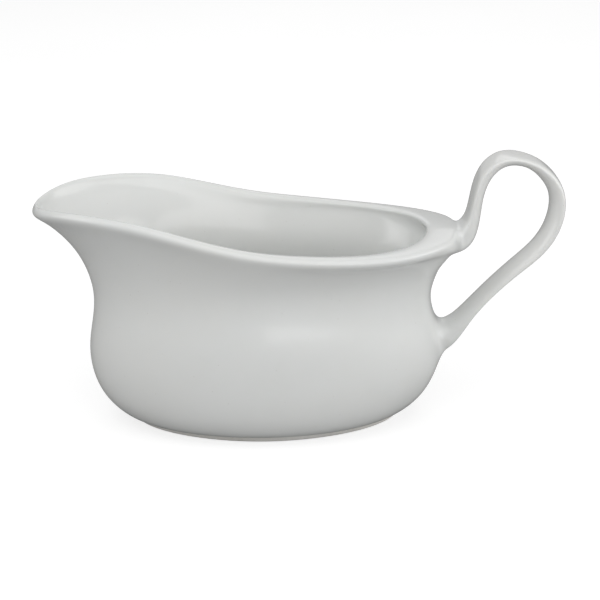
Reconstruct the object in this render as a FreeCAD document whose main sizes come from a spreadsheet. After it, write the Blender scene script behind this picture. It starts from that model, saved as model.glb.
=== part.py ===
# Gravy boat in white porcelain: an oval boat with a broad pouring spout at -X,
# a flat shelf in the rim at +X, and a looped strap handle luted to that shelf
# and to the belly. Millimetres, +Z up. The origin is the centre of the foot
# ring on the table plane. "Front" is the spout half, "rear" the handle half.
import FreeCAD, Part
import Sketcher
import math
import os

V = FreeCAD.Vector

# ---------------------------------------------------------------- dimensions
# alias, value, note
SIZES = [
    ("foot_half_length", 54.0, "outer half length of the foot ring"),
    ("foot_half_width", 29.6, "outer half width of the foot ring"),
    ("foot_band", 3.6, "width of the unglazed bearing face"),
    ("foot_blank_height", 3.6, "height before the top is trimmed to the boat"),
    ("foot_edge", 0.6, "round on the lower edges"),
    ("rim_centre_x", 2.19, "where spout half and handle half of the rim meet"),
    ("rim_front", 93.56, "spout half length"),
    ("rim_rear", 77.01, "handle half length"),
    ("rim_half_width", 43.7, "half width"),
    ("rim_full_front", 0.11, "fullness of the spout half in plan"),
    ("rim_full_rear", 0.18, "fullness of the handle half in plan"),
    ("spout_pinch", 0.05, "share of the width drawn in behind the spout tip"),
    ("body_centre_x", 0.69, "where the two halves of the belly meet"),
    ("wall", 3.7, "wall thickness of the boat"),
    ("base_wall", 4.2, "thickness of the base"),
    ("slip_proud", 2.2, "how far the lower collar spreads on the boat"),
    ("slip_edge", 0.5, "added to the strap's section at a collar's thin end"),
]

# Rim and lip stations are placed by the cosine of the angle round the boat:
# -1 is the spout tip, +1 the middle of the shelf.
# (cosine, rim height)
RIM = [
    (-1.0, 89.5), (-0.9, 91.88), (-0.72, 92.5), (-0.45, 89.85),
    (-0.15, 82.1), (0.25, 78.25), (0.7, 76.78), (1.0, 77.8),
]
RIM_LEVEL = 5  # the rim station from which the side's rise is measured
# (cosine, width of the rolled lip)
LIP = [
    (-1.0, 3.29), (-0.6, 4.62), (0.2, 6.94), (0.6, 8.1), (0.85, 10.55), (1.0, 14.14),
]
# section over the rolled lip, from outside to inside:
# (set in from the rim, height above the rim, share of the lip width set in)
LIP_SECTION = [
    (0.9, -2.0, 0), (0.0, 0.2, 0), (1.3, 2.0, 0),
    (-1.5, 2.1, 1), (0.0, 0.5, 1), (0.2, -3.0, 1),
]
PINCH_COSINE = -0.78  # where the spout draws in most
PINCH_SPREAD = 0.2    # how far the pinch reaches round the rim, as a cosine

# outside of the boat, from the foot up to the flare:
# (height, spout half length, handle half length, half width,
#  share of the rim's rise, extra lift under the spout)
SIDE = [
    (2.0, 39.0, 37.6, 17.6, 0.0, 0.0),
    (2.0, 47.0, 45.6, 24.0, 0.0, 0.0),
    (2.0, 55.17, 52.59, 30.69, 0.0, 0.0),
    (5.0, 61.2, 59.53, 35.5, 0.0, 0.0),
    (12.0, 68.12, 65.59, 39.0, 0.0, 0.0),
    (22.0, 71.85, 71.46, 40.2, 0.0, 0.0),
    (33.0, 72.35, 72.16, 40.2, 0.0, 0.0),
    (44.0, 69.85, 67.54, 39.4, 0.0, 0.0),
    (54.0, 68.65, 66.42, 37.1, 0.0, 0.0),
    (63.0, 70.84, 69.83, 36.6, 0.15, 0.0),
    (70.0, 76.05, 74.37, 39.2, 0.55, -0.97),
    (74.5, 85.68, 79.12, 41.6, 0.85, 0.59),
]
BASE_EDGE = 2              # the last side station that lies under the base
BASE_EDGE_IN_X = 0.985     # scale of the inner base edge, lengthwise
BASE_EDGE_IN_Y = 0.97      # and across
HEEL_EXTRA = 0.35          # extra wall at the station above the base

# strap handle: spline poles from inside the shelf, up, round the loop and
# down to the belly (x, z, width, thickness)
STRAP = [
    (66.0, 76.2, 22.0, 3.2),
    (72.4, 76.1, 25.0, 4.0),
    (78.2, 75.0, 24.5, 6.2),
    (81.9, 78.9, 18.5, 6.2),
    (83.8, 86.9, 15.2, 5.13),
    (85.2, 96.3, 14.9, 5.02),
    (88.8, 103.0, 14.8, 5.14),
    (93.8, 106.8, 14.8, 4.68),
    (98.8, 107.15, 14.8, 4.25),
    (103.7, 106.0, 14.8, 4.09),
    (108.05, 103.65, 14.9, 4.69),
    (111.8, 100.2, 15.1, 5.38),
    (115.5, 95.2, 15.3, 5.89),
    (117.1, 87.9, 15.5, 5.84),
    (115.3, 78.6, 15.5, 5.32),
    (110.1, 69.9, 15.4, 4.54),
    (101.1, 62.4, 15.2, 3.9),
    (91.9, 53.9, 15.2, 3.74),
    (84.4, 45.7, 15.4, 3.95),
    (79.1, 39.2, 15.9, 5.4),
    (75.2, 35.4, 16.5, 7.59),
    (70.4, 33.7, 17.2, 9.3),
    (65.2, 33.4, 17.8, 9.77),
]
STRAP_COLUMNS = ("x", "z", "width", "thick")


def station_rows(patterns, table):
    # one sheet row for each number; columns without a pattern are left out
    return [(pattern % i, value, "")
            for i, row in enumerate(table) for pattern, value in zip(patterns, row)]


doc = FreeCAD.newDocument("gravy_boat")
sheet = doc.addObject("Spreadsheet::Sheet", "dims")
sheet.Label = "dims"
sheet_rows = (
    SIZES
    + station_rows(["rim_height_%d"], [(height,) for _, height in RIM])
    + station_rows(["lip_width_%d"], [(width,) for _, width in LIP])
    + station_rows(["side_height_%02d", "side_front_%02d",
                    "side_rear_%02d", "side_width_%02d"], SIDE)
    + station_rows(["strap_" + name + "_%02d" for name in STRAP_COLUMNS], STRAP)
)
for row_number, (alias, value, note) in enumerate(sheet_rows, 1):
    sheet.set("A%d" % row_number, alias)
    sheet.set("B%d" % row_number, repr(value))
    sheet.set("C%d" % row_number, note)
    sheet.setAlias("B%d" % row_number, alias)
doc.recompute()


def dim(alias):
    return float(sheet.get(alias))


def dim_column(pattern, count):
    return [dim(pattern % i) for i in range(count)]


# ---------------------------------------------------------------- the boat
COLUMNS = 32  # columns of poles round the boat
ANGLES = [(j + 0.5) * 2 * math.pi / COLUMNS for j in range(COLUMNS)]
MIN_LOOP_LENGTH = 50  # an edge shorter than this doesn't bound the skin

rim_cosines = [cosine for cosine, _ in RIM]
lip_cosines = [cosine for cosine, _ in LIP]
rim_heights = dim_column("rim_height_%d", len(RIM))
lip_widths = dim_column("lip_width_%d", len(LIP))


def smooth(xs, ys, x):
    # cubic Hermite through stations, with slopes from the neighbours
    if x <= xs[0]:
        return ys[0]
    if x >= xs[-1]:
        return ys[-1]
    last = len(xs) - 1
    i = 0
    while xs[i + 1] < x:
        i += 1
    gap = xs[i + 1] - xs[i]
    t = (x - xs[i]) / gap

    def chord(k):
        return (ys[k + 1] - ys[k]) / (xs[k + 1] - xs[k])

    def slope(k):
        if k == 0:
            return chord(0)
        if k == last:
            return chord(last - 1)
        before = xs[k] - xs[k - 1]
        after = xs[k + 1] - xs[k]
        return (chord(k - 1) * after + chord(k) * before) / (before + after)

    t2 = t * t
    t3 = t2 * t
    return ((2 * t3 - 3 * t2 + 1) * ys[i] + (t3 - 2 * t2 + t) * gap * slope(i)
            + (3 * t2 - 2 * t3) * ys[i + 1] + (t3 - t2) * gap * slope(i + 1))


def rim_height(cosine):
    return smooth(rim_cosines, rim_heights, cosine)


def side_ring(i):
    height = dim("side_height_%02d" % i)
    front = dim("side_front_%02d" % i)
    rear = dim("side_rear_%02d" % i)
    half_width = dim("side_width_%02d" % i)
    rise_share, spout_lift = SIDE[i][4:]
    ring = []
    for angle in ANGLES:
        cosine, sine = math.cos(angle), math.sin(angle)
        x = dim("body_centre_x") + (front if cosine < 0 else rear) * cosine
        z = (height + rise_share * (rim_height(cosine) - rim_heights[RIM_LEVEL])
             + spout_lift * max(0.0, -cosine) ** 3)
        ring.append(V(x, half_width * sine, z))
    return ring


def lip_ring(set_in, rise, lip_share):
    ring = []
    for angle in ANGLES:
        cosine, sine = math.cos(angle), math.sin(angle)
        half = "front" if cosine < 0 else "rear"
        inset = set_in + lip_share * smooth(lip_cosines, lip_widths, cosine)
        reach = dim("rim_" + half) - inset
        fullness = 1 + dim("rim_full_" + half) * (1 - sine * sine)
        y = (dim("rim_half_width") - inset) * sine * fullness
        if cosine < 0:
            offset = (cosine - PINCH_COSINE) / PINCH_SPREAD
            y *= 1 - dim("spout_pinch") * math.exp(-offset ** 2)
        ring.append(V(dim("rim_centre_x") + reach * cosine, y, rim_height(cosine) + rise))
    return ring


def inner_ring(outside, i):
    # above the base, the outside set in by the wall; below, a flat floor
    ring = []
    floor = dim("side_height_00") + dim("base_wall")
    thickness = dim("wall") + (HEEL_EXTRA if i == BASE_EDGE + 1 else 0.0)
    for j, pole in enumerate(outside[i]):
        if i < BASE_EDGE:
            ring.append(V(pole.x, pole.y, floor))
        elif i == BASE_EDGE:
            ring.append(V(pole.x * BASE_EDGE_IN_X, pole.y * BASE_EDGE_IN_Y, floor))
        else:
            around = outside[i][(j + 1) % COLUMNS] - outside[i][j - 1]
            upward = outside[i + 1][j] - outside[i - 1][j]
            normal = around.cross(upward)
            normal.normalize()
            ring.append(pole - normal * thickness)
    return ring


def boat_net():
    # rings of poles: up the outside, over the lip and down the inside
    outside = [side_ring(i) for i in range(len(SIDE))]
    lip = [lip_ring(*row) for row in LIP_SECTION]
    inside = [inner_ring(outside, i) for i in range(len(SIDE) - 2, -1, -1)]
    return outside + lip + inside


def clamp_ends(column):
    # give an open column of a uniform cubic net clamped ends
    poles = list(column)
    poles[0], poles[1] = ((poles[0] + poles[1] * 4 + poles[2]) * (1.0 / 6),
                          (poles[1] * 2 + poles[2]) * (1.0 / 3))
    poles[-1], poles[-2] = ((poles[-1] + poles[-2] * 4 + poles[-3]) * (1.0 / 6),
                            (poles[-2] * 2 + poles[-3]) * (1.0 / 3))
    return poles


def make_bowl():
    # one periodic skin, closed by a flat cap under the base and one on the floor
    net = boat_net()
    columns = [clamp_ends([ring[j] for ring in net]) for j in range(COLUMNS)]
    rows = len(net)
    surface = Part.BSplineSurface()
    surface.buildFromPolesMultsKnots(
        columns,
        [1] * (COLUMNS + 1), [4] + [1] * (rows - 4) + [4],
        [float(k) for k in range(COLUMNS + 1)], [float(k) for k in range(rows - 2)],
        True, False, 3, 3)
    skin = surface.toShape()

    loops = []
    for edge in skin.Edges:
        heights = [point.z for point in edge.discretize(12)]
        if max(heights) - min(heights) < 1e-4 and edge.Length > MIN_LOOP_LENGTH:
            loops.append((sum(heights) / len(heights), edge))
    loops.sort(key=lambda loop: loop[0])
    caps = [Part.Face(Part.Wire([edge])) for _, edge in (loops[0], loops[-1])]

    shell = Part.Shell([skin] + caps)
    # sew if the caps don't share the skin's edges
    if not shell.isClosed():
        shell = Part.makeShell([skin] + caps)
        shell.sewShape()
    solid = Part.Solid(shell)
    # turn the solid if its faces point inward
    if solid.Volume < 0:
        solid.reverse()
    # mend tolerances if the caps and skin don't quite agree
    if not solid.isValid():
        solid.fix(1e-5, 1e-5, 1e-4)
    feature = doc.addObject("Part::Feature", "bowl")
    feature.Label = "bowl"
    feature.Shape = solid
    return feature


# ---------------------------------------------------------------- helpers
def add_body(name):
    body = doc.addObject("PartDesign::Body", name)
    body.Label = name
    return body


def add_sketch(body, name):
    plane = next(f for f in body.Origin.OriginFeatures if f.Role == "XY_Plane")
    sketch = body.newObject("Sketcher::SketchObject", name)
    sketch.AttachmentSupport = [(plane, "")]
    sketch.MapMode = "FlatFace"
    return sketch


def add_ellipse(sketch, half_long, half_short, long_name, short_name):
    # centred ellipse with its long axis along the sketch's X
    curve = sketch.addGeometry(Part.Ellipse(V(0, 0, 0), half_long, half_short), False)
    sketch.exposeInternalGeometry(curve)
    long_axis, short_axis = curve + 1, curve + 2
    sketch.addConstraint(Sketcher.Constraint("Coincident", curve, 3, -1, 1))
    sketch.addConstraint(Sketcher.Constraint("Horizontal", long_axis))
    long_size = sketch.addConstraint(
        Sketcher.Constraint("Distance", long_axis, 2 * half_long))
    short_size = sketch.addConstraint(
        Sketcher.Constraint("Distance", short_axis, 2 * half_short))
    sketch.renameConstraint(long_size, long_name)
    sketch.renameConstraint(short_size, short_name)


def add_cut(name, base, tool):
    cut = doc.addObject("Part::Cut", name)
    cut.Label = name
    cut.Base = base
    cut.Tool = tool
    return cut


# ---------------------------------------------------------------- foot ring
def make_foot_ring(bowl):
    # an oval band, rounded where it meets the table, trimmed to the boat
    blank = add_body("foot_blank")
    sketch = add_sketch(blank, "foot_outline")
    half_length, half_width = dim("foot_half_length"), dim("foot_half_width")
    band = dim("foot_band")
    add_ellipse(sketch, half_length, half_width, "outer_length", "outer_width")
    add_ellipse(sketch, half_length - band, half_width - band,
                "inner_length", "inner_width")
    for side in ("length", "width"):
        sketch.setExpression("Constraints.outer_" + side, "2 * dims.foot_half_" + side)
        sketch.setExpression("Constraints.inner_" + side,
                             "2 * (dims.foot_half_%s - dims.foot_band)" % side)
    pad = blank.newObject("PartDesign::Pad", "foot_pad")
    pad.Profile = sketch
    pad.setExpression("Length", "dims.foot_blank_height")
    doc.recompute()

    table_edges = ["Edge%d" % number for number, edge in enumerate(pad.Shape.Edges, 1)
                   if max(point.z for point in edge.discretize(8)) < 1e-6]
    rounds = blank.newObject("PartDesign::Fillet", "foot_rounds")
    rounds.Base = (pad, table_edges)
    rounds.setExpression("Radius", "dims.foot_edge")
    doc.recompute()
    return add_cut("foot_ring", blank, bowl)


# ---------------------------------------------------------------- strap
strap_poles = [dim_column("strap_" + name + "_%02d", len(STRAP)) for name in STRAP_COLUMNS]


def on_strap(position):
    # x, z, width, thickness and unit tangent (x, z) of the uniform cubic
    # spline; position counts poles, from 1 to the last but one
    i = min(int(position), len(STRAP) - 3)
    f = position - i
    weights = [(1 - f) ** 3 / 6, (3 * f ** 3 - 6 * f * f + 4) / 6,
               (-3 * f ** 3 + 3 * f * f + 3 * f + 1) / 6, f ** 3 / 6]
    rates = [-(1 - f) ** 2 / 2, (9 * f * f - 12 * f) / 6,
             (-9 * f * f + 6 * f + 3) / 6, f * f / 2]

    def blend(factors, poles):
        return sum(factors[k] * poles[i - 1 + k] for k in range(4))

    x, z, width, thickness = [blend(weights, poles) for poles in strap_poles]
    run, rise = [blend(rates, poles) for poles in strap_poles[:2]]
    length = math.hypot(run, rise)
    return x, z, width, thickness, run / length, rise / length


def bind_section(sketch, i):
    # at a whole position the spline is (1, 4, 1) / 6 of the three nearest poles
    for target, column in (("Constraints.wide", "width"), ("Constraints.thick", "thick"),
                           ("AttachmentOffset.Base.x", "x"),
                           ("AttachmentOffset.Base.z", "z")):
        before, here, after = ["dims.strap_%s_%02d" % (column, k) for k in (i - 1, i, i + 1)]
        sketch.setExpression(target, "(%s + 4 * %s + %s) / 6" % (before, here, after))


def strap_loft(name, sections, bound=False):
    # a loft through oval sections square to the strap's centre line;
    # sections: (position, extra width, extra thickness)
    body = add_body(name)
    sketches = []
    for k, (position, extra_width, extra_thickness) in enumerate(sections):
        x, z, width, thickness, tangent_x, tangent_z = on_strap(position)
        sketch = add_sketch(body, "%s_section_%02d" % (name, k))
        # sketch X along the width (+Y), sketch Y across the thickness,
        # sketch Z along the strap
        sketch.AttachmentOffset = FreeCAD.Placement(FreeCAD.Matrix(
            0, -tangent_z, tangent_x, x,
            1, 0, 0, 0,
            0, tangent_x, tangent_z, z,
            0, 0, 0, 1))
        add_ellipse(sketch, (width + extra_width) / 2, (thickness + extra_thickness) / 2,
                    "wide", "thick")
        if bound:
            bind_section(sketch, position)
        sketches.append(sketch)
    doc.recompute()
    loft = body.newObject("PartDesign::AdditiveLoft", name + "_loft")
    loft.Profile = sketches[0]
    loft.Sections = sketches[1:]
    loft.Ruled = False
    loft.Closed = False
    doc.recompute()
    return body


def make_collar(side, sections, bowl, strap):
    # a sleeve of slip round the strap, cut back to the boat and the strap
    blank = strap_loft(side + "_slip_blank", sections)
    trim = add_cut(side + "_slip_trim", blank, bowl)
    return add_cut(side + "_luting_joint", trim, strap)


# ---------------------------------------------------------------- build
bowl = make_bowl()
foot_ring = make_foot_ring(bowl)
strap = strap_loft("strap_blank", [(i, 0.0, 0.0) for i in range(1, len(STRAP) - 1)],
                   bound=True)
handle = add_cut("handle", strap, bowl)

# collars of slip that lute the strap to the boat, from the boat outward
# (position on the strap, extra width, extra thickness)
proud = dim("slip_proud")
thin = dim("slip_edge")
lower = make_collar("lower", [
    (20.95, 2.2 * proud, 2.2 * proud),
    (20.55, 1.5 * proud, 1.3 * proud),
    (20.1, 0.6 * proud + thin, 0.4 * proud + thin),
    (19.6, thin, thin),
], bowl, strap)
upper = make_collar("upper", [
    (1.3, 1.2, 0.8),
    (1.7, 1.2, 0.9),
    (2.1, 1.0, 0.8),
    (2.5, thin, thin),
], bowl, strap)
doc.recompute()

# ---------------------------------------------------------------- write
NODES = [bowl, handle, foot_ring, upper, lower]
faults = [item.Label + " " + ",".join(item.State) for item in doc.Objects
          if "Invalid" in item.State or "Error" in item.State]
for node in NODES:
    if node.Shape.isNull() or not node.Shape.isValid() or not node.Shape.Solids:
        faults.append(node.Label + " shape")
if faults:
    raise SystemExit("not written: " + "; ".join(faults))
os.makedirs("parts", exist_ok=True)
for node in NODES:
    node.Shape.exportStep("parts/%s.step" % node.Label)
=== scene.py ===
# A glazed porcelain boat with a pouring spout, a looped strap handle and a bare foot ring.
# The spout points to -X and the handle to +X; the boat is symmetric about y = 0 and
# stands on z = 0. The camera looks from -Y. Shapes are in millimetres and are scaled
# to metres as they become meshes; materials, floor and lights are in metres.
import math
import bpy
import bmesh
import numpy as np
from mathutils import Matrix, Vector


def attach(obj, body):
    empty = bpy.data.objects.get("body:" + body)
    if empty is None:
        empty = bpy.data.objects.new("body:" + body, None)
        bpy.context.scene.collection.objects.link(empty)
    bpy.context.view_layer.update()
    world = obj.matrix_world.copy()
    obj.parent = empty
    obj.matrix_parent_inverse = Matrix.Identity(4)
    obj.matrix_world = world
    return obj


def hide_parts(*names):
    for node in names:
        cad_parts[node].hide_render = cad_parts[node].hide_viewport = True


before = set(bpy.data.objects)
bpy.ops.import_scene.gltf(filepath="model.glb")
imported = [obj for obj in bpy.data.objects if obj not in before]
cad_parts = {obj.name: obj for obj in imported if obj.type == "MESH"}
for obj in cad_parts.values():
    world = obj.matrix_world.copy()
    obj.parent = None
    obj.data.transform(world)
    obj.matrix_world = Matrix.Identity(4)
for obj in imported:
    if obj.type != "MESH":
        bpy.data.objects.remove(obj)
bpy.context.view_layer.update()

MM = 0.001

# ------------------------------------------------------------------ boat dimensions
# One cage runs up the outside of the boat, over the rolled lip, down the inside, and
# out along the strap. It is subdivided as a whole, so that the handle grows out of
# the boat without a crease, and is then cut into the pieces luted together.
COLS = 32
CAGE_LEVELS = 3
# Angles around the boat, 0 at the handle end; the columns crowd together there.
CROWDING, CROWDING_POWER = 0.42, 4
EVEN_ANGLES = [(j + 0.5) * 2 * math.pi / COLS for j in range(COLS)]
ANGLES = [a - CROWDING * math.sin(a) * ((1 + math.cos(a)) / 2) ** CROWDING_POWER
          for a in EVEN_ANGLES]

# Outside wall: height, half length to the spout, half length to the handle,
# half width, share of the rim's rise, lift under the spout
BODY_CENTRE_X = 0.69
OUTSIDE = [
    (2.0, 39.0, 37.6, 17.6, 0.0, 0.0),
    (2.0, 47.0, 45.6, 24.0, 0.0, 0.0),
    (2.0, 55.17, 52.59, 30.69, 0.0, 0.0),
    (5.0, 61.2, 59.53, 35.5, 0.0, 0.0),
    (12.0, 68.12, 65.59, 39.0, 0.0, 0.0),
    (22.0, 71.85, 71.46, 40.2, 0.0, 0.0),
    (33.0, 72.35, 72.16, 40.2, 0.0, 0.0),
    (44.0, 69.85, 67.54, 39.4, 0.0, 0.0),
    (54.0, 68.65, 66.42, 37.1, 0.0, 0.0),
    (63.0, 70.84, 69.83, 36.6, 0.15, 0.0),
    (70.0, 76.05, 74.37, 39.2, 0.55, -0.97),
    (74.5, 85.68, 79.12, 41.6, 0.85, 0.59),
]

# Rim height and lip width, each against the cosine of the angle (-1 is the spout)
RIM_COS = [-1.0, -0.9, -0.72, -0.45, -0.15, 0.25, 0.7, 1.0]
RIM_HEIGHT = [89.5, 91.88, 92.5, 89.85, 82.1, 78.25, 76.78, 77.8]
RIM_BASE_HEIGHT = RIM_HEIGHT[5]  # the rise is counted from here
LIP_COS = [-1.0, -0.6, 0.2, 0.6, 0.85, 1.0]
LIP_WIDTH = [3.29, 4.62, 6.94, 8.1, 10.55, 14.14]

RIM_CENTRE_X = 2.19
RIM_SPOUT_LENGTH, RIM_HANDLE_LENGTH = 93.56, 77.01
RIM_HALF_WIDTH = 43.7
SPOUT_FULLNESS, HANDLE_FULLNESS = 0.11, 0.18  # widening of the plan towards its ends
PINCH, PINCH_COS, PINCH_SPREAD = 0.05, -0.78, 0.2  # narrowing behind the spout tip

# Lip rows: inset, rise, share of the lip width added to the inset, then the inset and
# rise added towards the handle, where the lip overhangs with a tighter inner edge
LIP_ROWS = [
    (0.9, -2.0, 0, 0, 0),
    (0.0, 0.2, 0, 0, 0),
    (1.3, 2.0, 0, 0, 0),
    (-1.5, 2.1, 1, 0.55, -0.15),
    (0.0, 0.5, 1, 0, 0.55),
    (0.2, -3.0, 1, -1.1, 2.3),
]
OVERHANG_COS = (-0.1, 0.5)  # where the overhang starts and is complete

WALL, BASE = 3.7, 4.2
FLOOR_EDGE_ROW = 2  # outside row mirrored by the edge of the inner floor
FLOOR_EDGE_SCALE = (0.985, 0.97)
CORNER_EXTRA_WALL = 0.35  # on the row next above the floor's edge

ROW_FLARE = len(OUTSIDE) - 1
ROW_UNDER_FLARE = ROW_FLARE - 1
ROW_LOW, ROW_HIGH, ROW_TOP = ROW_FLARE + 1, ROW_FLARE + 2, ROW_FLARE + 3
ROW_BELLY_LOW, ROW_BELLY_HIGH = 5, 6

# Extra wall on the inside, at the handle end under the rim
EXTRA_WALL = {ROW_UNDER_FLARE: 2.6, ROW_UNDER_FLARE - 1: 1.2}
EXTRA_WALL_COS = (0.75, 1.0)

# Spout tip: share of the shift on each column out from the middle, and the (x, z) shift
# of each row; the front face stands nearly upright over a crisp lower edge
SPOUT_SHARES = (0.85, 0.42, 0.08)
SPOUT_SHIFTS = {
    ROW_LOW: (-0.15, -0.35),
    ROW_HIGH: (1.05, 0),
    ROW_TOP: (0.9, 0),
    ROW_TOP + 1: (0.5, 0),
}

# Places at the handle end for the columns out from the middle: (x, z), or (x, y, z)
# for the +Y side; -Y mirrors it
HANDLE_END = {
    # the rim deepens into the root of the strap
    ROW_UNDER_FLARE: [(72.1, 67.2), (72.0, 67.3), (71.9, 68.4)],
    ROW_FLARE: [(73.1, 69.4), (73.1, 69.7), (74.4, 72.0)],
    ROW_LOW: [(78.9, 2.8, 68.9), (79.3, 7.3, 70.3), (75.6, 74.6)],
    ROW_HIGH: [(76.9, 3.0, 79.8), (76.9, 9.1, 79.5), (75.8, 78.2)],
    ROW_TOP: [(74.9, 80.1), (74.9, 80.0)],
    # the belly rows meet the lower end of the strap
    ROW_BELLY_LOW - 1: [(67.6, 14.2), (67.1, 14.0), (64.9, 13.0)],
    ROW_BELLY_LOW: [(72.3, 27.8), (72.0, 27.7), (69.4, 24.6)],
    ROW_BELLY_HIGH: [(70.0, 39.2), (69.5, 38.9), (68.2, 36.2)],
    ROW_BELLY_HIGH + 1: [(67.4, 47.0), (66.8, 46.8), (65.0, 45.4)],
}

# Strap, from the rim to the belly: centre x, z, direction of travel in degrees,
# width, thickness, share of the root's wedge section
STRAP_LOOPS = [
    (81.45, 76.30, 38.0, 15.4, 9.50, 0.60),
    (83.69, 82.49, 74.0, 14.7, 5.54, 0.55),
    (84.56, 89.78, 85.0, 14.7, 4.67, 0.3),
    (86.04, 96.88, 70.0, 14.8, 5.02, 0.0),
    (89.04, 102.64, 48.0, 14.8, 5.53, 0.0),
    (93.86, 106.25, 20.0, 14.8, 5.14, 0.0),
    (98.76, 106.70, -6.0, 14.8, 4.39, 0.0),
    (103.59, 105.69, -20.0, 14.8, 3.99, 0.0),
    (107.93, 103.48, -36.0, 15.0, 4.68, 0.0),
    (111.74, 100.15, -49.0, 15.2, 5.46, 0.0),
    (115.46, 95.18, -64.0, 15.4, 5.93, 0.0),
    (116.80, 87.89, -88.0, 15.6, 6.12, 0.0),
    (114.85, 78.76, -110.0, 15.6, 5.80, 0.0),
    (109.68, 70.27, -131.0, 15.4, 5.12, 0.0),
    (100.74, 62.81, -139.0, 15.2, 4.42, 0.0),
    (91.53, 54.27, -135.0, 15.2, 4.07, 0.0),
    (84.10, 46.12, -129.0, 15.4, 4.20, 0.0),
    (79.06, 39.89, -132.0, 16.0, 5.90, 0.0),
    (76.24, 36.92, -150.0, 16.6, 8.38, 0.0),
    (73.79, 34.67, -172.0, 17.0, 10.88, 0.0),
]
STRAP_CAGE_WIDTH, WEDGE_CAGE_WIDTH = 1.111, 0.075  # cage width over the width given

JOINT_COLS = (-2, -1, 0, 1)  # boat columns that the ends of the strap join
HOLE_COLS = (COLS - 2, COLS - 1, 0)  # the faces between them are left open
BOWL, STRAP, UPPER, LOWER = 0, 1, 2, 3  # face labels


# ------------------------------------------------------------------ boat rows
def smoothstep(start, end, x):
    t = min(max((x - start) / (end - start), 0.0), 1.0)
    return t * t * (3 - 2 * t)


def curve_at(xs, ys, x):
    """Smooth cubic through the points, held level beyond its ends."""
    last = len(xs) - 1
    if x <= xs[0]:
        return ys[0]
    if x >= xs[-1]:
        return ys[-1]
    i = 0
    while xs[i + 1] < x:
        i += 1

    def chord(k):
        return (ys[k + 1] - ys[k]) / (xs[k + 1] - xs[k])

    def slope(k):
        if k == 0:
            return chord(0)
        if k == last:
            return chord(last - 1)
        before, after = xs[k] - xs[k - 1], xs[k + 1] - xs[k]
        return (chord(k - 1) * after + chord(k) * before) / (xs[k + 1] - xs[k - 1])

    width = xs[i + 1] - xs[i]
    t = (x - xs[i]) / width
    t2, t3 = t * t, t * t * t
    return ((2 * t3 - 3 * t2 + 1) * ys[i] + (t3 - 2 * t2 + t) * width * slope(i)
            + (3 * t2 - 2 * t3) * ys[i + 1] + (t3 - t2) * width * slope(i + 1))


def outside_row(height, spout_length, handle_length, half_width, rise_share, lift):
    row = []
    for angle in ANGLES:
        c, s = math.cos(angle), math.sin(angle)
        rise = curve_at(RIM_COS, RIM_HEIGHT, c) - RIM_BASE_HEIGHT
        z = height + rise_share * rise + lift * max(0.0, -c) ** 3
        length = spout_length if c < 0 else handle_length
        row.append(Vector((BODY_CENTRE_X + length * c, half_width * s, z)))
    return row


def lip_row(inset, rise, width_share, overhang_inset, overhang_rise):
    row = []
    for angle in ANGLES:
        c, s = math.cos(angle), math.sin(angle)
        overhang = smoothstep(*OVERHANG_COS, c)
        w = inset + width_share * curve_at(LIP_COS, LIP_WIDTH, c) + overhang * overhang_inset
        length, fullness = ((RIM_SPOUT_LENGTH, SPOUT_FULLNESS) if c < 0
                            else (RIM_HANDLE_LENGTH, HANDLE_FULLNESS))
        y = (RIM_HALF_WIDTH - w) * s * (1 + fullness * (1 - s * s))
        if c < 0:
            y *= 1 - PINCH * math.exp(-((c - PINCH_COS) / PINCH_SPREAD) ** 2)
        z = curve_at(RIM_COS, RIM_HEIGHT, c) + rise + overhang * overhang_rise
        row.append(Vector((RIM_CENTRE_X + (length - w) * c, y, z)))
    return row


def floor_row(outside, i):
    x_scale, y_scale = FLOOR_EDGE_SCALE if i == FLOOR_EDGE_ROW else (1, 1)
    floor_height = OUTSIDE[0][0] + BASE
    return [Vector((p.x * x_scale, p.y * y_scale, floor_height)) for p in outside[i]]


def inner_wall_row(outside, i):
    """Outside row i moved inward along its normals by the wall's thickness."""
    row = []
    for j, p in enumerate(outside[i]):
        around = outside[i][(j + 1) % COLS] - outside[i][j - 1]
        up = outside[i + 1][j] - outside[i - 1][j]
        extra = smoothstep(*EXTRA_WALL_COS, math.cos(ANGLES[j])) * EXTRA_WALL.get(i, 0.0)
        if i == FLOOR_EDGE_ROW + 1:
            extra += CORNER_EXTRA_WALL
        row.append(p - around.cross(up).normalized() * (WALL + extra))
    return row


def shape_spout_tip(rows):
    for k, share in enumerate(SPOUT_SHARES):
        for j in (COLS // 2 - 1 - k, COLS // 2 + k):
            for i, (dx, dz) in SPOUT_SHIFTS.items():
                rows[i][j] += Vector((dx * share, 0, dz * share))


def shape_handle_end(rows):
    for i, places in HANDLE_END.items():
        for k, place in enumerate(places):
            for j, side in ((k, 1), (COLS - 1 - k, -1)):
                y = rows[i][j].y if len(place) == 2 else side * place[1]
                rows[i][j] = Vector((place[0], y, place[-1]))


def boat_rows():
    outside = [outside_row(*station) for station in OUTSIDE]
    lip = [lip_row(*station) for station in LIP_ROWS]
    inside = [floor_row(outside, i) if i <= FLOOR_EDGE_ROW else inner_wall_row(outside, i)
              for i in range(ROW_UNDER_FLARE, -1, -1)]
    rows = outside + lip + inside
    shape_spout_tip(rows)
    shape_handle_end(rows)
    return rows


# ------------------------------------------------------------------ cage
def bridge(bm, first, second, label=0, flip=False, skip=()):
    """Quads between two closed loops of vertices."""
    for j in range(len(first)):
        if j in skip:
            continue
        a, b = j, (j + 1) % len(first)
        if flip:
            a, b = b, a
        bm.faces.new((first[a], first[b], second[b], second[a])).material_index = label


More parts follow.
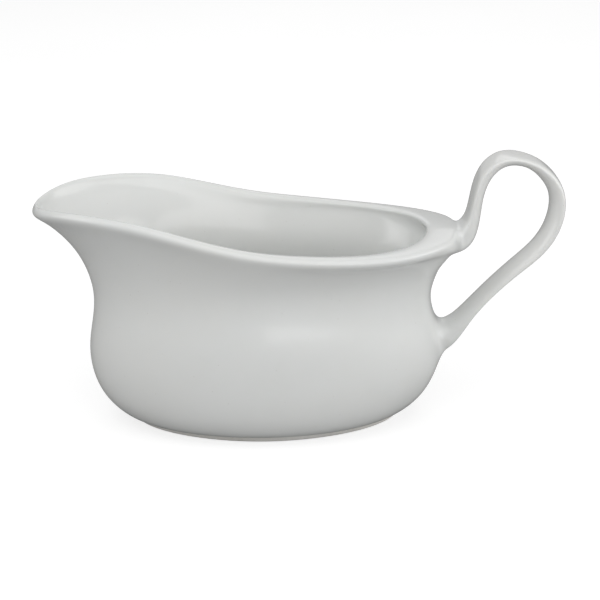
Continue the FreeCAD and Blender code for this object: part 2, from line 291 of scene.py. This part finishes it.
def cap(bm, ring, flip=False):
    """Close a level ring with two smaller rings and a middle face."""
    z = ring[0].co.z
    centre_x = sum(v.co.x for v in ring) / COLS
    current = ring
    for scale in (0.66, 0.33):
        smaller = [bm.verts.new((centre_x + (v.co.x - centre_x) * scale, v.co.y * scale, z))
                   for v in ring]
        bridge(bm, current, smaller, BOWL, flip)
        current = smaller
    bm.faces.new(current[::-1] if flip else current).material_index = BOWL


def strap_loop(bm, centre_x, centre_z, degrees, width, thickness, wedge):
    """A D section: the outer face wide and flat, the inner one drawn in and round."""
    angle = math.radians(degrees)
    inward_x, inward_z = math.sin(angle), -math.cos(angle)
    half_width = width / 2 * (STRAP_CAGE_WIDTH + WEDGE_CAGE_WIDTH * wedge)
    half_thick = thickness / 2
    inner_side, inner_mid = 0.80 - 0.24 * wedge, 0.34 - 0.10 * wedge
    # across (share of the half width), inward (share of the half thickness)
    section = (
        (-inner_side, 0.38), (-inner_mid, 1), (inner_mid, 1), (inner_side, 0.38),
        (1.0, -0.82), (0.5, -1), (-0.5, -1), (-1.0, -0.82))
    return [bm.verts.new((centre_x + inward_x * half_thick * inward, across * half_width,
                          centre_z + inward_z * half_thick * inward))
            for across, inward in section]


def joint_loop(first_row, second_row):
    return ([first_row[j] for j in JOINT_COLS]
            + [second_row[j] for j in reversed(JOINT_COLS)])


def subdivided(bm, name, levels, quality):
    """Scale the cage to metres and return its subdivided mesh."""
    for v in bm.verts:
        v.co *= MM
    bmesh.ops.recalc_face_normals(bm, faces=bm.faces[:])
    cage = bpy.data.meshes.new(name)
    bm.to_mesh(cage)
    bm.free()
    for p in cage.polygons:
        p.use_smooth = True
    holder = bpy.data.objects.new(name, cage)
    bpy.context.scene.collection.objects.link(holder)
    sub = holder.modifiers.new("sub", "SUBSURF")
    sub.levels = sub.render_levels = levels
    sub.use_limit_surface = True
    sub.quality = quality
    depsgraph = bpy.context.evaluated_depsgraph_get()
    mesh = bpy.data.meshes.new_from_object(holder.evaluated_get(depsgraph))
    bpy.data.objects.remove(holder)
    return mesh


def build_whole():
    """Boat and strap as one mesh, its faces labelled by piece."""
    bm = bmesh.new()
    grid = [[bm.verts.new(p) for p in row] for row in boat_rows()]
    for i in range(len(grid) - 1):
        skip = HOLE_COLS if i in (ROW_LOW, ROW_BELLY_LOW) else ()
        bridge(bm, grid[i], grid[i + 1], BOWL, skip=skip)
    cap(bm, grid[-1])
    cap(bm, grid[0], flip=True)

    loops = [joint_loop(grid[ROW_LOW], grid[ROW_HIGH])]
    loops += [strap_loop(bm, *station) for station in STRAP_LOOPS]
    loops.append(joint_loop(grid[ROW_BELLY_HIGH], grid[ROW_BELLY_LOW]))
    # the first span is the upper joint, the last two are the lower one
    spans = len(loops) - 1
    labels = [UPPER] + [STRAP] * (spans - 3) + [LOWER] * 2
    for i, label in enumerate(labels):
        bridge(bm, loops[i], loops[i + 1], label)
    return subdivided(bm, "cage", levels=CAGE_LEVELS, quality=5)


# ------------------------------------------------------------------ luted pieces
def register(ob, cad_piece):
    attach(ob, "root")
    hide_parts(cad_piece)


def vertex_values(mesh, attribute):
    values = np.zeros(len(mesh.vertices) * 3)
    mesh.vertices.foreach_get(attribute, values)
    return values.reshape(-1, 3)


def edges_of(loop):
    return zip(loop, loop[1:] + loop[:1])


def open_loops(faces):
    """Boundary loops, run against the faces' edges."""
    # dictionaries keep the edges in order, which fixes where each loop starts
    edges = dict.fromkeys(edge for f in faces for edge in edges_of(f))
    following = {b: a for a, b in edges if (b, a) not in edges}
    loops = []
    while following:
        loop, current = [], next(iter(following))
        while current in following:
            loop.append(current)
            current = following.pop(current)
        loops.append(loop)
    return loops


def cut(whole, places, normals, name, label):
    """One labelled piece, closed in the joints, with the whole mesh's normals."""
    used = {}
    faces = [[used.setdefault(v, len(used)) for v in p.vertices]
             for p in whole.polygons if p.material_index == label]
    points = [tuple(places[v]) for v in used]
    kept_normals = [tuple(normals[v]) for v in used]
    surface_count = len(faces)
    for loop in open_loops(faces):
        centre = sum((Vector(points[v]) for v in loop), Vector()) / len(loop)
        faces += [[a, b, len(points)] for a, b in edges_of(loop)]
        points.append(tuple(centre))

    mesh = bpy.data.meshes.new(name)
    mesh.from_pydata(points, [], faces)
    mesh.update()
    for p in mesh.polygons:
        p.use_smooth = True
    mesh.normals_split_custom_set([
        kept_normals[v] if i < surface_count else tuple(p.normal)
        for i, p in enumerate(mesh.polygons) for v in p.vertices])
    ob = bpy.data.objects.new(name, mesh)
    bpy.context.scene.collection.objects.link(ob)
    return ob


# name, face label, slot, CAD piece
PIECES = [
    ("boat", BOWL, "body_glaze", "bowl"),
    ("strap_handle", STRAP, "handle_glaze", "handle"),
    ("upper_slip_joint", UPPER, "joint_glaze", "upper_luting_joint"),
    ("lower_slip_joint", LOWER, "joint_glaze", "lower_luting_joint"),
]


def build_pieces():
    whole = build_whole()
    places, normals = vertex_values(whole, "co"), vertex_values(whole, "normal")
    pieces = []
    for name, label, slot_name, cad_piece in PIECES:
        ob = cut(whole, places, normals, name, label)
        register(ob, cad_piece)
        pieces.append(ob)
    return pieces


# ------------------------------------------------------------------ foot ring
FOOT_CENTRE_X = 0.25
FOOT_HALF_LENGTH, FOOT_HALF_WIDTH = 54.5, 29.95
FOOT_EXPONENT = 1.87  # of the superellipse; 2 is a plain ellipse
FOOT_COLS = 48
FOOT_PROFILE = [  # inset from the outer edge, height
    (-1.2, 3.2), (0.1, 2.5), (0.15, 1.2), (0.4, 0.25), (1.1, 0.0), (2.5, 0.0),
    (3.3, 0.25), (3.6, 1.2), (3.8, 2.2), (4.8, 3.2), (1.8, 3.6)]


def build_foot():
    bm = bmesh.new()
    rings = []
    for inset, z in FOOT_PROFILE:
        ring = []
        for j in range(FOOT_COLS):
            angle = 2 * math.pi * (j + 0.5) / FOOT_COLS
            c, s = math.cos(angle), math.sin(angle)
            reach = (abs(c) ** FOOT_EXPONENT + abs(s) ** FOOT_EXPONENT) ** (-1 / FOOT_EXPONENT)
            ring.append(bm.verts.new((FOOT_CENTRE_X + (FOOT_HALF_LENGTH - inset) * c * reach,
                                      (FOOT_HALF_WIDTH - inset) * s * reach, z)))
        rings.append(ring)
    for first, second in edges_of(rings):
        bridge(bm, first, second, flip=True)
    mesh = subdivided(bm, "foot_cage", levels=2, quality=3)
    ob = bpy.data.objects.new("foot_ring_biscuit", mesh)
    bpy.context.scene.collection.objects.link(ob)
    register(ob, "foot_ring")
    return ob


# ------------------------------------------------------------------ shader helpers
def put(node, values):
    """Set or link a node's inputs, by name or number."""
    for key, value in values.items():
        if isinstance(value, bpy.types.NodeSocket):
            node.id_data.links.new(value, node.inputs[key])
        else:
            node.inputs[key].default_value = value


def add(tree, kind, values):
    node = tree.nodes.new(kind)
    put(node, values)
    return node


def new_material(name):
    material = bpy.data.materials.new(name)
    material.use_nodes = True
    return material, material.node_tree


def object_place(tree):
    return tree.nodes.new("ShaderNodeTexCoord").outputs["Object"]


def noise(tree, place, scale, shift, detail=2.0, rough=0.5):
    """Solid noise; scale is in cycles per metre."""
    mapping = add(tree, "ShaderNodeMapping",
                  {"Location": (shift, shift * 0.7, -shift), "Vector": place})
    return add(tree, "ShaderNodeTexNoise", {
        "Scale": scale, "Detail": detail, "Roughness": rough,
        "Vector": mapping.outputs[0]}).outputs[0]


def span(tree, value, source=(0.3, 0.7), to=(0, 1), interpolation="LINEAR"):
    """Map the source range onto another; the default source is that of soft noise."""
    node = add(tree, "ShaderNodeMapRange", {
        "From Min": source[0], "From Max": source[1],
        "To Min": to[0], "To Max": to[1], "Value": value})
    node.interpolation_type = interpolation
    return node.outputs[0]


def mix_colour(tree, factor, first, second):
    node = tree.nodes.new("ShaderNodeMix")
    node.data_type = "RGBA"
    put(node, {0: factor, 6: first, 7: second})
    return node.outputs[2]


def bump(tree, height, metres, strength, under=None):
    node = add(tree, "ShaderNodeBump",
               {"Distance": metres, "Strength": strength, "Height": height})
    if under is not None:
        put(node, {"Normal": under})
    return node.outputs[0]


def camera_only(tree, unseen, seen):
    """One shader for what the camera sees, another for the light that is thrown."""
    path = tree.nodes.new("ShaderNodeLightPath")
    return add(tree, "ShaderNodeMixShader", {
        0: path.outputs["Is Camera Ray"], 1: unseen.outputs[0],
        2: seen.outputs[0]}).outputs[0]


# ------------------------------------------------------------------ materials
# The textures are solid and in object coordinates, so they run on unbroken from
# the boat over a joint to the strap.
WARM_WHITE, COOL_WHITE = (0.796, 0.803, 0.786, 1), (0.806, 0.820, 0.810, 1)
# the strap's white is painted light: a brighter colour laid over the strap to lighten it
MOTTLE_WHITE, STRAP_PAINTED_LIGHT_WHITE = (0.776, 0.789, 0.772, 1), (0.856, 0.860, 0.842, 1)
PINHOLE_BROWN = (0.50, 0.47, 0.41, 1)
PAINTED_STRAP_LIGHT_START_X = (0.077, 0.090)  # metres, where the painted light on the strap comes in
BISCUIT_DARK, BISCUIT_LIGHT = (0.70, 0.685, 0.645, 1), (0.76, 0.75, 0.72, 1)
GRAIN_GREY, RUBBED_GREY = (0.62, 0.605, 0.57, 1), (0.50, 0.485, 0.455, 1)


def glaze(name):
    """Clear gloss glaze over white porcelain."""
    material, tree = new_material(name)
    place = object_place(tree)
    # broad clouds of slightly warmer and cooler white
    cloud = span(tree, noise(tree, place, scale=16, shift=3.1))
    colour = mix_colour(tree, cloud, WARM_WHITE, COOL_WHITE)
    # faint mottling where the glaze lies thicker or thinner
    mottle = span(tree, noise(tree, place, scale=95, shift=7.7, detail=3.0, rough=0.55),
                  source=(0.42, 0.72))
    colour = mix_colour(tree, span(tree, mottle, source=(0, 1), to=(0, 0.35)),
                        colour, MOTTLE_WHITE)
    # painted light: the colour fades to a brighter white over the strap, a painted lift
    # standing in for light passing into the thin strap
    axes = add(tree, "ShaderNodeSeparateXYZ", {0: place})
    painted_strap_light = span(tree, axes.outputs["X"], source=PAINTED_STRAP_LIGHT_START_X, interpolation="SMOOTHSTEP")
    colour = mix_colour(tree, painted_strap_light, colour, STRAP_PAINTED_LIGHT_WHITE)
    # the rare fine pinhole
    cells = add(tree, "ShaderNodeTexVoronoi", {"Scale": 210.0, "Vector": place})
    pinhole = span(tree, cells.outputs["Distance"], source=(0.035, 0.06), to=(0.22, 0.0))
    colour = mix_colour(tree, pinhole, colour, PINHOLE_BROWN)
    roughness = span(tree, noise(tree, place, scale=42, shift=1.3), to=(0.16, 0.26))
    coat_roughness = span(tree, noise(tree, place, scale=60, shift=5.9), to=(0.04, 0.09))
    # the glaze's slow orange peel, and under it the fainter tooth of the cast body
    peel = bump(tree, noise(tree, place, scale=230, shift=2.2, rough=0.45),
                metres=0.00005, strength=0.55)
    tooth = bump(tree, noise(tree, place, scale=1500, shift=9.4, detail=3.0, rough=0.6),
                 metres=0.00001, strength=0.35, under=peel)
    put(tree.nodes["Principled BSDF"], {
        "Base Color": colour,
        "Roughness": roughness,
        "IOR": 1.5,
        "Specular IOR Level": 0.42,
        "Subsurface Weight": 0.10,
        "Subsurface Radius": (1.0, 0.95, 0.85),
        "Subsurface Scale": 0.0016,
        "Coat Weight": 0.55,
        "Coat IOR": 1.46,
        "Coat Roughness": coat_roughness,
        "Normal": tooth,
        "Coat Normal": peel,
    })
    return material


def biscuit(name):
    """Bare, polished porcelain: matt, fine grained, a little marked."""
    material, tree = new_material(name)
    place = object_place(tree)
    cloud = span(tree, noise(tree, place, scale=45, shift=4.4, detail=3.0, rough=0.6))
    colour = mix_colour(tree, cloud, BISCUIT_DARK, BISCUIT_LIGHT)
    grain = span(tree, noise(tree, place, scale=2600, shift=1.1, detail=3.0, rough=0.7),
                 source=(0.38, 0.62))
    colour = mix_colour(tree, span(tree, grain, source=(0, 1), to=(0, 0.4)),
                        colour, GRAIN_GREY)
    rub = span(tree, noise(tree, place, scale=150, shift=8.2, detail=4.0, rough=0.7),
               source=(0.58, 0.74), to=(0, 0.5))
    colour = mix_colour(tree, rub, colour, RUBBED_GREY)
    roughness = span(tree, noise(tree, place, scale=120, shift=6.0), to=(0.72, 0.9))
    tooth = bump(tree, noise(tree, place, scale=2200, shift=0.7, detail=3.0, rough=0.7),
                 metres=0.00004, strength=0.6)
    put(tree.nodes["Principled BSDF"], {
        "Base Color": colour, "Roughness": roughness,
        "Specular IOR Level": 0.25, "Normal": tooth})
    return material


def dress(material, *objects):
    for ob in objects:
        ob.data.materials.clear()
        ob.data.materials.append(material)


# ------------------------------------------------------------------ floor and world
FLOOR_SIZE, FLOOR_CELLS = 9.0, 12
FLOOR_TONES = (0.44, 0.44, 0.44, 1), (0.45, 0.45, 0.45, 1)
FLOOR_GLOW = 0.71  # added for the camera only
FLOOR_BOUNCE = 0.33  # grey of the floor as it lights the boat
AMBIENT = 0.45
WHITE = (1, 1, 1, 1)


def floor_paper():
    material, tree = new_material("floor_paper")
    tree.nodes.clear()
    output = tree.nodes.new("ShaderNodeOutputMaterial")
    place = object_place(tree)
    paper = tree.nodes.new("ShaderNodeBsdfDiffuse")
    tone = span(tree, noise(tree, place, scale=6, shift=0.4))
    put(paper, {"Color": mix_colour(tree, tone, *FLOOR_TONES)})
    glow = add(tree, "ShaderNodeEmission", {"Color": WHITE, "Strength": FLOOR_GLOW})
    seen = add(tree, "ShaderNodeAddShader", {0: paper.outputs[0], 1: glow.outputs[0]})
    unseen = add(tree, "ShaderNodeBsdfDiffuse", {"Color": (FLOOR_BOUNCE,) * 3 + (1,)})
    put(output, {"Surface": camera_only(tree, unseen, seen)})
    return material


def build_floor():
    """A plain, nearly white floor that throws little light back up."""
    bm = bmesh.new()
    steps = [(i / FLOOR_CELLS - 0.5) * FLOOR_SIZE for i in range(FLOOR_CELLS + 1)]
    grid = [[bm.verts.new((x, y, 0.0)) for y in steps] for x in steps]
    for i in range(FLOOR_CELLS):
        for j in range(FLOOR_CELLS):
            bm.faces.new((grid[i][j], grid[i + 1][j], grid[i + 1][j + 1], grid[i][j + 1]))
    mesh = bpy.data.meshes.new("floor")
    bm.to_mesh(mesh)
    bm.free()
    ob = bpy.data.objects.new("floor", mesh)
    bpy.context.scene.collection.objects.link(ob)
    mesh.materials.append(floor_paper())


def build_world():
    """The surround lights the boat softly, and is plain white where it is seen."""
    world = bpy.data.worlds.new("world")
    bpy.context.scene.world = world
    world.use_nodes = True
    tree = world.node_tree
    ambient = tree.nodes["Background"]
    put(ambient, {"Color": WHITE, "Strength": AMBIENT})
    seen = add(tree, "ShaderNodeBackground", {"Color": WHITE, "Strength": 1.0})
    put(tree.nodes["World Output"], {"Surface": camera_only(tree, ambient, seen)})


# ------------------------------------------------------------------ lights and camera
LIGHT_TARGET = Vector((0.015, 0.0, 0.05))
LIGHT_DISTANCE = 1.1
# Soft boxes: name, azimuth and elevation in degrees seen from the boat (0 is the
# camera's side, +90 the handle's), diameter, power
LIGHTS = [
    ("front_low", 20, 6, 0.9, 3.0),
    ("front_mid", 0, 40, 1.1, 0.5),
    ("right_low", 70, 10, 1.1, 5.1),
    ("left_low", -70, 10, 0.7, 1.8),
    ("left_mid", -70, 38, 0.7, 1.15),
    ("back_mid", 180, 38, 0.7, 0.75),
    ("front_high", 0, 66, 1.2, 2.1),
]

CAMERA_TARGET = Vector((14.69, 0.0, 48.95))
CAMERA_DISTANCE = 600.0
CAMERA_ELEVATION, CAMERA_ROLL = 20.54, -0.82  # degrees
SENSOR_WIDTH, FOCAL_LENGTH = 36, 89.28


def add_light(name, azimuth, elevation, diameter, power):
    az, el = math.radians(azimuth), math.radians(elevation)
    outward = Vector((math.sin(az) * math.cos(el), -math.cos(az) * math.cos(el),
                      math.sin(el)))
    light = bpy.data.lights.new(name, "AREA")
    light.shape = "DISK"
    light.size = diameter
    light.energy = power
    ob = bpy.data.objects.new(name, light)
    ob.location = LIGHT_TARGET + outward * LIGHT_DISTANCE
    ob.rotation_mode = "QUATERNION"
    ob.rotation_quaternion = (-outward).to_track_quat("-Z", "Y")
    bpy.context.scene.collection.objects.link(ob)


def add_camera():
    elevation, roll = math.radians(CAMERA_ELEVATION), math.radians(CAMERA_ROLL)
    view = Vector((0, math.cos(elevation), -math.sin(elevation)))
    level = Vector((1, 0, 0))
    upright = level.cross(view)
    right = level * math.cos(roll) + upright * math.sin(roll)
    up = -level * math.sin(roll) + upright * math.cos(roll)
    place = (CAMERA_TARGET - view * CAMERA_DISTANCE) * MM
    data = bpy.data.cameras.new("cam")
    data.sensor_width = SENSOR_WIDTH
    data.lens = FOCAL_LENGTH
    data.clip_start, data.clip_end = 0.01, 20
    camera = bpy.data.objects.new("cam", data)
    bpy.context.scene.collection.objects.link(camera)
    camera.matrix_world = Matrix((
        (right.x, up.x, -view.x, place.x),
        (right.y, up.y, -view.y, place.y),
        (right.z, up.z, -view.z, place.z),
        (0, 0, 0, 1)))
    bpy.context.scene.camera = camera


# ------------------------------------------------------------------ build
bowl, strap, upper, lower = build_pieces()
foot = build_foot()
dress(glaze("body_glaze"), bowl)
dress(glaze("handle_glaze"), strap)
dress(glaze("joint_glaze"), upper, lower)
dress(biscuit("bare_foot"), foot)
build_floor()
build_world()
for light_row in LIGHTS:
    add_light(*light_row)
add_camera()
bpy.context.scene.view_settings.view_transform = "Standard"
